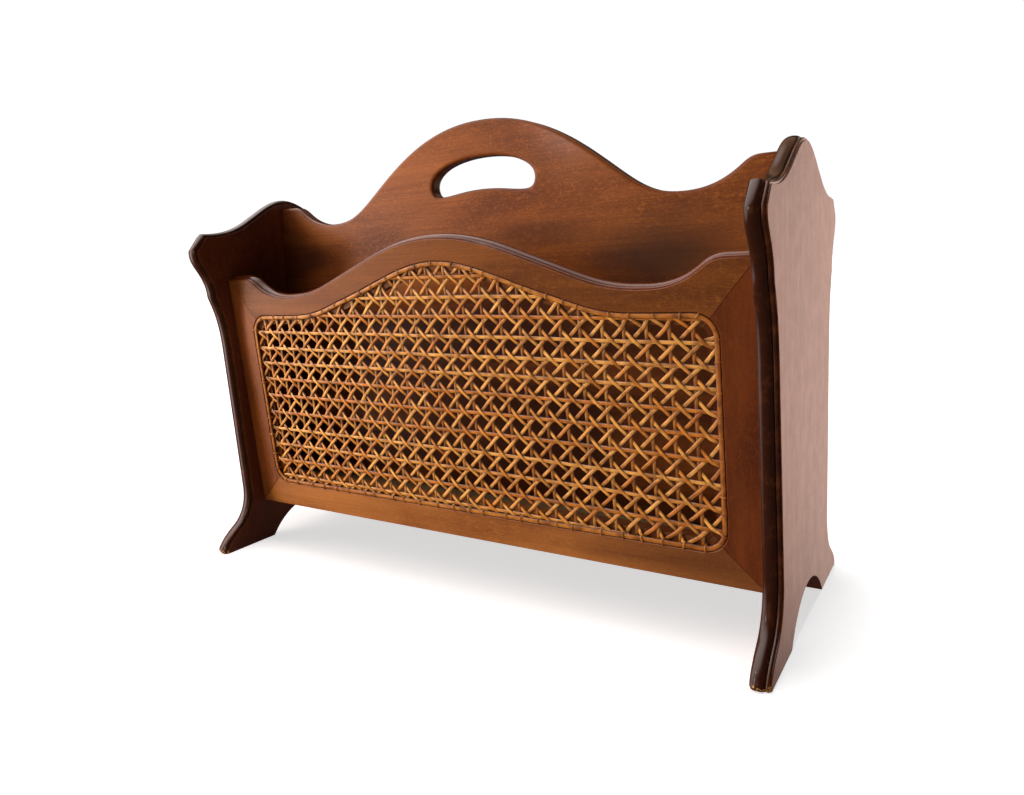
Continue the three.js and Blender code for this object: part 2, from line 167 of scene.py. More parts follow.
class Outline:
    """The right half of a symmetrical outline, drawn from the top middle to the bottom middle."""

    def __init__(self, x, y, steps=CURVE_STEPS):
        self.points = [Vector((x, y))]
        self.steps = steps

    def line(self, x, y):
        self.points.append(Vector((x, y)))
        return self

    def curve(self, x1, y1, x2, y2, x3, y3):
        """Bezier curve from the last point."""
        a, b, c, d = self.points[-1], Vector((x1, y1)), Vector((x2, y2)), Vector((x3, y3))
        for i in range(1, self.steps + 1):
            t = i / self.steps
            s = 1 - t
            self.points.append(s ** 3 * a + 3 * s * s * t * b + 3 * s * t * t * c + t ** 3 * d)
        return self

    def arc(self, centre_x, centre_y, radius, start, end):
        """Circular arc about a centre, between two angles in degrees."""
        for i in range(1, self.steps + 1):
            angle = math.radians(start + (end - start) * i / self.steps)
            x = centre_x + radius * math.cos(angle)
            y = centre_y + radius * math.sin(angle)
            self.points.append(Vector((x, y)))
        return self

    def loop(self):
        """Anticlockwise loop of both halves."""
        left = [Vector((-p.x, p.y)) for p in self.points[1:]]
        right = list(reversed(self.points[1:-1]))
        return [self.points[0]] + left + right


def end_panel_outline():
    radius = (HEEL_Y ** 2 + ARCH_RISE ** 2) / (2 * ARCH_RISE)
    spread = math.degrees(math.asin(HEEL_Y / radius))
    half = Outline(0, CREST_Z)
    half.curve(14, CREST_Z, 26, 316.5, 38.5, 309)
    half.curve(51, 301.5, 65, EAR[1], *EAR)
    half.line(*WIDEST)
    half.curve(105.5, 265.5, 91, 262, *KINK)
    half.curve(83, 222, 80.5, 212, *NECK_TOP)
    half.line(*NECK_FOOT)
    half.curve(70.5, 38, 77, 26, *FLARE)
    half.curve(95, 14, 101, 9, *TOE)
    half.line(TOE[0] - 1.5, 0)
    half.line(HEEL_Y, 0)
    half.arc(0, ARCH_RISE - radius, radius, 90 - spread, 90)
    return half.loop()


def frame_outline():
    side = HALF_LENGTH - GAP
    half = Outline(0, FRAME_CREST_V)
    half.curve(38, FRAME_CREST_V, 62, 226, 92, 215)
    half.curve(126, 202.5, 136, FRAME_VALLEY[1], *FRAME_VALLEY)
    half.curve(186, FRAME_VALLEY[1], 197, 201.5, 206, 208.5)
    half.curve(211, 212.5, 215, FRAME_SHOULDER[1], 222, FRAME_SHOULDER[1])
    half.line(side, FRAME_SHOULDER[1])
    half.line(side, 0)
    half.line(0, 0)
    return half.loop()


def opening_outline():
    inner = OPENING_X - OPENING_CORNER
    top = OPENING_SHOULDER - OPENING_CORNER
    low = OPENING_BOTTOM + OPENING_CORNER
    half = Outline(0, OPENING_CREST, CURVE_STEPS // 2)
    half.curve(30, OPENING_CREST, 60, 207, 90, 197.5)
    half.curve(122, 187.5, 132, OPENING_SHOULDER, 160, OPENING_SHOULDER)
    half.line(inner, OPENING_SHOULDER)
    half.arc(inner, top, OPENING_CORNER, 90, 0)
    half.line(OPENING_X, low)
    half.arc(inner, low, OPENING_CORNER, 0, -90)
    half.line(0, OPENING_BOTTOM)
    return half.loop()


def divider_outline():
    end = DIVIDER_HIGH.x
    half = Outline(0, DIVIDER_CREST_Z)
    half.curve(35, DIVIDER_CREST_Z, 64, 362, 98, 337.5)
    half.curve(130, 314.5, 141, DIVIDER_VALLEY[1], *DIVIDER_VALLEY)
    half.curve(190, DIVIDER_VALLEY[1], 202, 306, 213, 315)
    half.curve(217, 318, 220, DIVIDER_SHOULDER[1], 226, DIVIDER_SHOULDER[1])
    half.line(end, DIVIDER_SHOULDER[1])
    half.line(end, DIVIDER_LOW.z)
    half.line(0, DIVIDER_LOW.z)
    return half.loop()


def hand_hole_outline():
    half = Outline(0, HAND_HOLE_TOP)
    half.curve(28, HAND_HOLE_TOP, HAND_HOLE_X, 335, HAND_HOLE_X, HAND_HOLE_END)
    half.curve(HAND_HOLE_X, 317, 48, HAND_HOLE_LOBE[1], *HAND_HOLE_LOBE)
    half.curve(30, HAND_HOLE_LOBE[1], 20, HAND_HOLE_BOTTOM, 0, HAND_HOLE_BOTTOM)
    return half.loop()


def outward_steps(points, is_moulded=lambda p: True):
    """Unit step outward at each point of an anticlockwise loop, lengthened at corners as a mitre is."""
    def normal(a, b):
        return Vector((b.y - a.y, a.x - b.x)).normalized()

    steps = []
    for i, point in enumerate(points):
        before = points[i - 1]
        after = points[(i + 1) % len(points)]
        if not is_moulded(point):
            steps.append(Vector((0, 0)))
        elif not is_moulded(before):
            steps.append(normal(point, after))
        elif not is_moulded(after):
            steps.append(normal(before, point))
        else:
            n1 = normal(before, point)
            n2 = normal(point, after)
            steps.append((n1 + n2) / (1 + n1.dot(n2)))
    return steps


def offset_loop(points, distance):
    """The loop moved outward by a distance, or inward when it is negative."""
    return [p + s * distance for p, s in zip(points, outward_steps(points))]


# ---------- mesh building

def ring(bm, points, w, layers, arris=0.0):
    """Adds one loop of vertices at height w, off the moulding, with a value for the arris layer."""
    verts = [bm.verts.new((p.x, p.y, w)) for p in points]
    for vert in verts:
        vert[layers[1]] = arris
    return verts


def wall(bm, low, high):
    """Quads between two loops of equal length."""
    for i in range(len(low)):
        j = (i + 1) % len(low)
        bm.faces.new((low[i], low[j], high[j], high[i]))


def tube(bm, rings):
    """Walls between successive loops, closed by a face at each end."""
    for a, b in zip(rings, rings[1:]):
        wall(bm, a, b)
    bm.faces.new(rings[0])
    bm.faces.new(list(reversed(rings[-1])))


def cap(bm, *loops):
    """Fills the flat region bounded by one outer loop and any inner ones."""
    edges = []
    for loop in loops:
        for a, b in zip(loop, loop[1:] + loop[:1]):
            edges.append(bm.edges.get((a, b)) or bm.edges.new((a, b)))
    bmesh.ops.triangle_fill(bm, use_beauty=True, edges=edges)


def finish_mesh(name, bm, matrix, smooth_angle=40):
    """Turns a bmesh in millimetres into an object in metres, smooth except at sharp edges."""
    bmesh.ops.recalc_face_normals(bm, faces=bm.faces)
    bmesh.ops.transform(bm, matrix=Matrix.Scale(MM, 4) @ matrix, verts=bm.verts)
    mesh = bpy.data.meshes.new(name)
    bm.to_mesh(mesh)
    bm.free()
    mesh.shade_smooth()
    mesh.set_sharp_from_angle(angle=math.radians(smooth_angle))
    piece = bpy.data.objects.new(name, mesh)
    bpy.context.scene.collection.objects.link(piece)
    return piece


def stand_for(piece, material, slot, *nodes):
    """Gives a piece its material and its body, and hides the CAD nodes it stands for; its slot argument is
    not used.
    """
    piece.data.materials.clear()
    piece.data.materials.append(material)
    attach(piece, "root")
    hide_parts(*nodes)
    return piece


# ---------- moulded edges

FACE_INSET = 0.8         # how far in from its edge a face's wear and painted arris highlight can reach
FILLET_RISE = 0.9        # how far the beads' foot stands out from the board
QUIRK = 0.3              # how far the groove beside a bead is cut back from that
BEAD_SPRING = 12         # degrees: where a bead's curve leaves its groove
SMALL_BEAD = dict(middle=2.2, half_width=1.15, rise=0.7, count=6)
MAIN_BEAD = dict(middle=8.05, half_width=4.55, rise=2.5, count=14)
LOW_FILLET = 0.9
BETWEEN_BEADS = 3.4
HIGH_FILLET = 12.7


def bead(middle, half_width, rise, count):
    """Points over a bead that stands on the fillet's level, as (depth, out)."""
    sweep = 180 - 2 * BEAD_SPRING
    angles = [math.radians(BEAD_SPRING + sweep * i / (count - 1)) for i in range(count)]
    return [(middle - half_width * math.cos(a), FILLET_RISE + rise * math.sin(a)) for a in angles]


def moulding_profile(shows_low):
    """Small bead, then a wide bead, between fillets: (height, out, moulding, arris) from the low face up."""
    groove = FILLET_RISE - QUIRK
    top = PANEL_THICKNESS
    rows = [(0, -FACE_INSET, 0, 0), (0, -0.3, 0.2, 1), (0.1, -0.1, 0.5, 1), (0.3, 0, 1, 1)]
    rows += [(LOW_FILLET, 0, 1, 0.2), (LOW_FILLET + 0.1, groove, 1, 0)]
    rows += [(d, o, 1, 0.35) for d, o in bead(**SMALL_BEAD)]
    rows += [(BETWEEN_BEADS, groove, 1, 0)]
    rows += [(d, o, 1, 0) for d, o in bead(**MAIN_BEAD)]
    rows += [(HIGH_FILLET - 0.05, groove, 1, 0), (HIGH_FILLET, 0, 1, 0.2)]
    rows += [(top - 0.15, -0.1, 0.5, 1), (top, -0.3, 0.2, 1), (top, -FACE_INSET, 0, 0)]
    if shows_low:
        return rows
    return [(PANEL_THICKNESS - d, o, m, a) for d, o, m, a in reversed(rows)]


def eased_profile(thickness, radius):
    """A square edge with its arrises rounded a little."""
    corner = [(0, -FACE_INSET - radius, 0, 0), (0, -radius, 0.1, 0.4), (radius * 0.3, -radius * 0.3, 0.8, 1)]
    corner += [(radius, 0, 1, 0.6), (radius + FACE_INSET, 0, 1, 0)]
    far = [(thickness - d, o, m, a) for d, o, m, a in reversed(corner)]
    return corner + far


def edge_rings(bm, points, is_moulded, low, profile, layers):
    """Rings of vertices that carry an edge profile round a plate, from low upward."""
    whole = outward_steps(points)
    part = outward_steps(points, is_moulded)
    rings = []
    for depth, out, moulding, arris in profile:
        steps = part if out > 0 else whole
        moved = [p + s * out for p, s in zip(points, steps)]
        verts = []
        for point, at in zip(points, moved):
            vert = bm.verts.new((at.x, max(at.y, 0.0), low + depth))
            vert[layers[0]] = moulding if is_moulded(point) else 0.0
            vert[layers[1]] = arris if is_moulded(point) else 0.3 * arris
            verts.append(vert)
        rings.append(verts)
    for a, b in zip(rings, rings[1:]):
        wall(bm, a, b)
    return rings


def new_bmesh():
    """A bmesh with two layers that place the moulding's darker staining, its wear and a painted highlight:
    how far on the moulding, and how near an arris.
    """
    bm = bmesh.new()
    layers = [bm.verts.layers.float.new("moulding"), bm.verts.layers.float.new("arris")]
    return bm, layers


def pocket(bm, points, w, depth, toward, layers):
    """A blind hole: returns the loop at its mouth."""
    mouth = ring(bm, points, w, layers)
    floor = ring(bm, points, w + toward * depth, layers)
    wall(bm, mouth, floor)
    cap(bm, floor)
    return mouth


# ---------- placing

PANEL_AXES = Matrix(((0, 0, 1, 0), (1, 0, 0, 0), (0, 1, 0, 0), (0, 0, 0, 1)))
UPRIGHT = Matrix.Rotation(math.pi / 2, 4, "X")


def frame_matrix(facing):
    """Places a frame's (x, v, w): w points out of its face, v up it."""
    lean = Matrix.Translation((0, -FRAME_FOOT_Y, FRAME_FOOT_Z)) @ Matrix.Rotation(math.pi / 2 + LEAN, 4, "X")
    turn = Matrix.Rotation(0 if facing == "front" else math.pi, 4, "Z")
    return turn @ lean


# ---------- end panels and divider

def on_end_panel_edge(point):
    return abs(point.x) > HEEL_Y + 1 or point.y > ARCH_RISE + 1


def rectangle(x0, y0, x1, y1):
    return [Vector((x0, y0)), Vector((x1, y0)), Vector((x1, y1)), Vector((x0, y1))]


def end_panel(side, sign):
    low = HALF_LENGTH if sign > 0 else -HALF_LENGTH - PANEL_THICKNESS
    bm, layers = new_bmesh()
    rings = edge_rings(bm, end_panel_outline(), on_end_panel_edge, low, moulding_profile(sign < 0), layers)
    inner, outer = (rings[0], rings[-1]) if sign > 0 else (rings[-1], rings[0])
    half = DIVIDER_THICKNESS / 2 + GAP
    slot = rectangle(-half, DIVIDER_LOW.z - GAP, half, DIVIDER_SHOULDER[1] + GAP)
    depth = DIVIDER_HIGH.x - HALF_LENGTH + GAP
    mouth = pocket(bm, slot, sign * HALF_LENGTH, depth, sign, layers)
    cap(bm, inner, mouth)
    cap(bm, outer)
    return finish_mesh(f"{side}_end_panel_wood", bm, PANEL_AXES)


def divider():
    bm, layers = new_bmesh()
    low = -DIVIDER_THICKNESS / 2

    def on_upper_edge(point):
        return point.y > DIVIDER_VALLEY[1] - 1

    eased = eased_profile(DIVIDER_THICKNESS, DIVIDER_ARRIS)
    outer = edge_rings(bm, divider_outline(), on_upper_edge, low, eased, layers)
    hole_points = list(reversed(hand_hole_outline()))
    hole = edge_rings(bm, hole_points, lambda p: True, low, eased, layers)
    cap(bm, outer[0], hole[0])
    cap(bm, outer[-1], hole[-1])
    return finish_mesh("handle_divider_wood", bm, UPRIGHT)


# ---------- frames

def whole_frame():
    """One frame before it is divided at the mitres, in its own axes."""
    bm, layers = new_bmesh()

    def on_top_edge(point):
        return point.y > FRAME_VALLEY[1] - 1

    outer = edge_rings(bm, frame_outline(), on_top_edge, -PANEL_THICKNESS, moulding_profile(False), layers)
    opening = opening_outline()
    through = offset_loop(opening, -LEDGE_WIDTH)
    face = ring(bm, offset_loop(opening, FACE_INSET), 0, layers)
    # The opening's arris ring: lightened, partly as wear, partly as a painted highlight.
    worn_and_highlit = ring(bm, offset_loop(opening, OPENING_ARRIS), 0, layers, arris=1)
    arris = ring(bm, opening, -OPENING_ARRIS, layers, arris=0.6)
    foot = ring(bm, opening, -REBATE_DEPTH, layers)
    ledge = ring(bm, through, -REBATE_DEPTH, layers)
    back = ring(bm, through, -PANEL_THICKNESS, layers)
    for a, b in zip((face, worn_and_highlit, arris, foot, ledge), (worn_and_highlit, arris, foot, ledge, back)):
        wall(bm, a, b)
    cap(bm, outer[-1], face)
    cap(bm, outer[0], back)
    bmesh.ops.recalc_face_normals(bm, faces=bm.faces)
    return bm


def keep_side(bm, name, sign, inner_side):
    """Cuts a frame at one mitre and keeps the rail's side or the stile's side of it."""
    outer, inner = MITRES[name]
    start = Vector((sign * outer.x, outer.y, 0))
    along = Vector((sign * (inner.x - outer.x), inner.y - outer.y, 0)).normalized()
    normal = Vector((-along.y, along.x, 0)) * sign
    if name == "bottom":
        normal = -normal
    if inner_side:
        normal = -normal
    cut_at = start - normal * GAP / 2
    geometry = bm.verts[:] + bm.edges[:] + bm.faces[:]
    cut = bmesh.ops.bisect_plane(bm, geom=geometry, plane_co=cut_at, plane_no=normal, clear_outer=True)
    edges = [e for e in cut["geom_cut"] if isinstance(e, bmesh.types.BMEdge)]
    bmesh.ops.holes_fill(bm, edges=edges, sides=0)


MEMBER_CUTS = {
    "top_rail": [("top", -1, False), ("top", 1, False)],
    "bottom_rail": [("bottom", -1, False), ("bottom", 1, False)],
    "left_stile": [("top", -1, True), ("bottom", -1, True)],
    "right_stile": [("top", 1, True), ("bottom", 1, True)],
}


def frame_member(facing, member):
    bm = whole_frame()
    for name, sign, inner_side in MEMBER_CUTS[member]:
        keep_side(bm, name, sign, inner_side)
    drop_far_side(bm, member)
    label = member
    if facing == "back" and "stile" in member:   # the back frame is the front one turned round
        label = "right_stile" if member == "left_stile" else "left_stile"
    return finish_mesh(f"{facing}_{label}_wood", bm, frame_matrix(facing)), f"{facing}_{label}"


def drop_far_side(bm, member):
    """Drops what a mitre's plane leaves on the far side of the opening."""
    middle = (OPENING_BOTTOM + OPENING_SHOULDER) / 2
    is_far = {
        "top_rail": lambda place: place.y < middle,
        "bottom_rail": lambda place: place.y > middle,
        "left_stile": lambda place: place.x > 0,
        "right_stile": lambda place: place.x < 0,
    }[member]
    bmesh.ops.delete(bm, geom=[vert for vert in bm.verts if is_far(vert.co)], context="VERTS")


# ---------- weave

def smooth(t):
    t = min(max(t, 0.0), 1.0)
    return t * t * (3 - 2 * t)


def inside(loop, x, y):
    """Which points (arrays x, y) lie inside a loop."""
    result = np.zeros(len(x), bool)
    for a, b in zip(loop, loop[1:] + loop[:1]):
        crosses = (a.y > y) != (b.y > y)
        if a.y != b.y:
            at = (b.x - a.x) * (y - a.y) / (b.y - a.y) + a.x
            result ^= crosses & (x < at)
    return result


def lattice_point(column, row):
    """Panel position of a column and a row; the rows are a little uneven and sag, as hand work does."""
    s = column - MIDDLE_COLUMN
    x = CELL * s - COLUMN_SQUEEZE * s ** 3
    v = FIRST_ROW_V + ROW_PITCH * (row - 1) + ROW_BULGE * math.exp(-((row - BULGE_ROW) / BULGE_SPREAD) ** 2)
    return x, v - ROW_SLOPE * x - ROW_SAG * max(x, 0) ** 2 * (1 - row / SAG_ROWS)


def rising_phase(column, row):
    """Where a rising strand crosses the rows; it drifts over the left half, above the lowest rows."""
    return RISING_PHASE + RISING_DRIFT * max(0, DRIFT_COLUMN - column) * min(1, max(row, 0) / DRIFT_ROWS)


def falling_row(number, column):
    return number + FALLING_PHASE - column


def rising_row(number, column):
    row = column - number - RISING_PHASE
    return column - number - rising_phase(column, row)


# Each family of strands: the point (column, row) at parameter t of its strand n, the numbers of its
# strands and the parameters they run between.
ACROSS = (-1, LAST_COLUMN)
FAMILIES = {
    "uprights": {"at": lambda n, t: (n, t), "numbers": range(0, LAST_COLUMN), "reach": (-1, LAST_ROW)},
    "crosswise": {"at": lambda n, t: (t, n), "numbers": range(-1, LAST_ROW + 1), "reach": ACROSS},
    "falling": {"at": lambda n, t: (t, falling_row(n, t)),
                "numbers": range(-1, LAST_COLUMN + LAST_ROW), "reach": ACROSS},
    "rising": {"at": lambda n, t: (t, rising_row(n, t)),
               "numbers": range(-1 - LAST_ROW, LAST_COLUMN + 1), "reach": ACROSS},
}


def crossings(name, beta):
    """Where a strand meets the others within a cell, and how high it passes: over is 1, under is -1."""
    alpha = FALLING_PHASE
    near_row = (alpha + beta) / 2
    near_column = near_row + 0.5
    heights = {
        "uprights": [(0, -0.5), (alpha, 0), (1 - beta, 0)],
        "crosswise": [(0, 0.5), (alpha, 0), (beta, 0)],
        "falling": [(0, -1), (alpha, 1), (near_row, 1), (near_column, -1)],
        "rising": [(0, 1), (beta, -1), (near_row, -1), (near_column, 1)],
    }
    return sorted((phase % 1, height) for phase, height in heights[name])


def height_at(name, column, row):
    """Smooth height of a strand between its crossings."""
    marks = crossings(name, rising_phase(column, row))
    f = (row if name == "uprights" else column) % 1
    marks = [(marks[-1][0] - 1, marks[-1][1])] + marks + [(marks[0][0] + 1, marks[0][1])]
    for (f0, h0), (f1, h1) in zip(marks, marks[1:]):
        if f0 <= f <= f1:
            return h0 + (h1 - h0) * smooth((f - f0) / max(f1 - f0, 1e-6))
    return 0.0


def strand_runs(name, holes_loop):
    """Parts of each strand of a family that lie in the opening, as lists of (x, v, height)."""
    family = FAMILIES[name]
    start, end = family["reach"]
    count = (end - start) * STRAND_SAMPLES
    runs = []
    for n in family["numbers"]:
        lattice = [family["at"](n, start + i / STRAND_SAMPLES) for i in range(count + 1)]
        heights = np.array([height_at(name, column, row) for column, row in lattice])
        heights = np.convolve(np.pad(heights, 1, "edge"), (0.25, 0.5, 0.25), "valid") * STRAND_SWING
        places = np.array([lattice_point(column, row) for column, row in lattice])
        held = inside(holes_loop, places[:, 0], places[:, 1])
        run = []
        for i, keep in enumerate(held):
            if keep:
                run.append(Vector((*places[i], heights[i])))
            if run and (not keep or i == len(held) - 1):
                runs.append(run)
                run = []
    return [run for run in runs if len(run) > STRAND_SAMPLES // 2]


def nearest_on(loop, point):
    """Nearest point of a loop's edges."""
    best = None
    for a, b in zip(loop, loop[1:] + loop[:1]):
        along = b - a
        t = min(max((point - a).dot(along) / max(along.length_squared, 1e-9), 0.0), 1.0)
        at = a + along * t
        if best is None or (at - point).length < (best - point).length:
            best = at
    return best


def pull_end(run, target, reach):
    """Bends the end of a run (its last points) to a target in the plane."""
    end = run[-1].to_2d()
    shift = target - end
    for point in run:
        weight = smooth(1 - (point.to_2d() - end).length / reach)
        point.x += shift.x * weight
        point.y += shift.y * weight


def end_strand(run, target, reach):
    """Takes the end of a run to its hole and down into it."""
    pull_end(run, target, reach)
    last = run[-1]
    into = target - last.to_2d()
    if into.length > 1e-6:
        into.normalize()
    run.append(Vector((last.x + into.x * END_LEAN, last.y + into.y * END_LEAN, END_DEPTH)))


def weave_layout():
    """All strands of one panel, by family, with their ends led to the holes round the opening."""
    holes_loop = offset_loop(opening_outline(), -HOLE_INSET)
    layout = {name: strand_runs(name, holes_loop) for name in FAMILIES}
    holes = []
    for name in ("uprights", "crosswise"):
        for run in layout[name]:
            for _ in range(2):
                run.reverse()
                target = nearest_on(holes_loop, run[-1].to_2d())
                end_strand(run, target, STRAIGHT_PULL)
                holes.append(target)
    for name in ("rising", "falling"):
        for run in layout[name]:
            for _ in range(2):
                run.reverse()
                end = nearest_on(holes_loop, run[-1].to_2d())
                hole = min(holes, key=lambda h: (h - end).length)
                target = end.lerp(hole, HOLE_SHARE) if (hole - end).length < HOLE_NEAR else end
                end_strand(run, nearest_on(holes_loop, target), DIAGONAL_PULL)
    return layout


HALF_SECTION = [(0.46, 0.0), (0.5, 0.25), (0.4, 0.75), (0.18, 1.0)]
STRAND_SECTION = HALF_SECTION + [(-x, y) for x, y in reversed(HALF_SECTION)]


def add_strand(bm, run, layers, darker):
    """Sweeps a half-round strip of cane along a run; its flat side lies to the back."""
    cane, tone, sunk_shade = layers
    width = STRAND_WIDTH * random.uniform(1 - STRAND_VARIES, 1 + STRAND_VARIES)
    shift = random.gauss(0, STRAND_STRAY)
    wobble = random.uniform(0, 2 * math.pi)
    own_tone = random.random()
    seed = random.uniform(0, 50)
    travelled = 0.0
    rings = []
    for i, point in enumerate(run):
        before = run[max(i - 1, 0)]
        after = run[min(i + 1, len(run) - 1)]
        along = (after - before).normalized()
        across = Vector((along.y, -along.x, 0))
        if across.length < 1e-6:
            across = Vector((1, 0, 0))
        across.normalize()
        up = across.cross(along)
        up = up if up.z > 0 else -up
        travelled += (point - before).length
        side = shift + WANDER * math.sin(travelled / WANDER_LENGTH + wobble)
        tilt = TWIST * math.sin(travelled / TWIST_LENGTH + wobble)
        here = []
        for sx, sy in STRAND_SECTION:
            across_by = width * sx
            up_by = STRAND_THICKNESS * (sy - 0.5) + tilt * sx
            at = point + across * (across_by + side) + up * up_by
            vert = bm.verts.new((at.x, at.y, at.z + WEAVE_DEPTH))
            vert[cane] = (travelled, across_by, seed)
            vert[tone] = own_tone
            # How low the strand lies, with its family's offset: this sets the cane's painted shade.
            vert[sunk_shade] = 0.5 - 0.5 * point.z / STRAND_SWING + darker
            here.append(vert)
        rings.append(here)
    tube(bm, rings)


def cane_bmesh():
    """A bmesh with the cane's layers: place along and across a strand, its own tone, and how low it lies,
    which sets its painted shade.
    """
    bm = bmesh.new()
    cane = bm.verts.layers.float_vector.new("cane")
    tone = bm.verts.layers.float.new("tone")
    sunk_shade = bm.verts.layers.float.new("sunk_shade")
    return bm, (cane, tone, sunk_shade)


# Offsets to the painted shade of each family: the upright and crosswise strands darker, the diagonal ones
# lighter.
STRAIGHT_DARKER = 0.15
DIAGONAL_DARKER = -0.1


def weave(facing):
    """The strands of one panel, a mesh for each family."""
    pieces = []
    for name, runs in weave_layout().items():
        bm, layers = cane_bmesh()
        darker = STRAIGHT_DARKER if name in ("uprights", "crosswise") else DIAGONAL_DARKER
        for run in runs:
            add_strand(bm, run, layers, darker)
        pieces.append(finish_mesh(f"{facing}_weave_{name}", bm, frame_matrix(facing), 60))
    return pieces


# ---------- binder and its ties

def even_points(loop, spacing):
    """Points at an even spacing round a loop, with the direction of travel at each."""
    lengths = [(b - a).length for a, b in zip(loop, loop[1:] + loop[:1])]
    total = sum(lengths)
    count = max(int(round(total / spacing)), 3)
    result = []
    target = 0.0
    travelled = 0.0
    for (a, b), length in zip(zip(loop, loop[1:] + loop[:1]), lengths):
        while target <= travelled + length and len(result) < count:
            t = (target - travelled) / max(length, 1e-9)
            result.append((a.lerp(b, t), (b - a).normalized()))
            target += total / count
        travelled += length
    return result


# across in widths, up in thicknesses
BINDER_SECTION = [(-0.5, 0.0), (-0.5, 0.5), (-0.4, 0.85), (0.0, 1.0), (0.4, 0.85), (0.5, 0.5), (0.5, 0.0)]


def binder_middle():
    return offset_loop(opening_outline(), -BINDER_MARGIN - BINDER_WIDTH / 2)


def binder(facing):
    """The flat cane that covers the ends of the strands; its width, lift and tone vary a little."""
    bm, layers = cane_bmesh()
    cane, tone, _ = layers
    places = even_points(binder_middle(), BINDER_STEP)
    rings = []
    for i, (point, _) in enumerate(places):
        before = places[i - 1][0]
        after = places[(i + 1) % len(places)][0]
        along = (after - before).normalized()
        inward = Vector((-along.y, along.x))
        width = BINDER_WIDTH * (1 + 0.05 * math.sin(i / 7.0) + 0.03 * math.sin(i / 2.3))
        lift = 0.12 * math.sin(i / 5.0)
        here = []
        for sx, sy in BINDER_SECTION:
            at = point + inward * (sx * width)
            vert = bm.verts.new((at.x, at.y, BINDER_DEPTH + lift * sy + sy * BINDER_THICKNESS))
            vert[cane] = (i * BINDER_STEP, sx * width, 3.0)
            vert[tone] = 0.5 + 0.3 * math.sin(i / 31.0)
            here.append(vert)
        rings.append(here)
    for a, b in zip(rings, rings[1:] + rings[:1]):
        wall(bm, a, b)
    return finish_mesh(f"{facing}_binder", bm, frame_matrix(facing), 60)


# over the binder: across it in its widths, and height above its foot
TIE_PATH = [(-0.62, -2.2), (-0.6, 0.2), (-0.5, 1.25), (-0.3, 1.5), (0.0, 1.6),
            (0.3, 1.5), (0.52, 1.2), (0.62, 0.2), (0.72, -1.6)]
# across a tie in its half widths, and height
TIE_SECTION = [(-1, 0.0), (-0.6, 0.28), (0.6, 0.28), (1, 0.0), (0.6, -0.25), (-0.6, -0.25)]


def binder_ties(facing):
    """Thin loops of cane that come up through the holes and hold the binder down."""
    bm, layers = cane_bmesh()
    cane, tone, _ = layers
    for point, along in even_points(binder_middle(), TIE_SPACING):
        inward = Vector((-along.y, along.x))
        slip = random.gauss(0, TIE_SLIP)
        skew = random.gauss(0, TIE_SKEW)
        half_width = TIE_WIDTH / 2 * random.uniform(1 - TIE_VARIES, 1 + TIE_VARIES)
        own_tone = random.random()
        rings = []
        for sx, w in TIE_PATH:
            centre = point + inward * (sx * BINDER_WIDTH) + along * (slip + skew * sx * BINDER_WIDTH)
            here = []
            for side, drop in TIE_SECTION:
                at = centre + along * (side * half_width)
                vert = bm.verts.new((at.x, at.y, BINDER_DEPTH + w + drop))
                vert[cane] = (sx * BINDER_WIDTH, side, own_tone * 10)
                vert[tone] = own_tone
                here.append(vert)
            rings.append(here)
        tube(bm, rings)
    return finish_mesh(f"{facing}_binder_ties", bm, frame_matrix(facing), 60)


# ---------- materials

def colour(red, green, blue):
    """Linear colour of an 8-bit display colour."""
    def linear(value):
        c = value / 255
        return c / 12.92 if c <= 0.04045 else ((c + 0.055) / 1.055) ** 2.4
    return (linear(red), linear(green), linear(blue), 1.0)


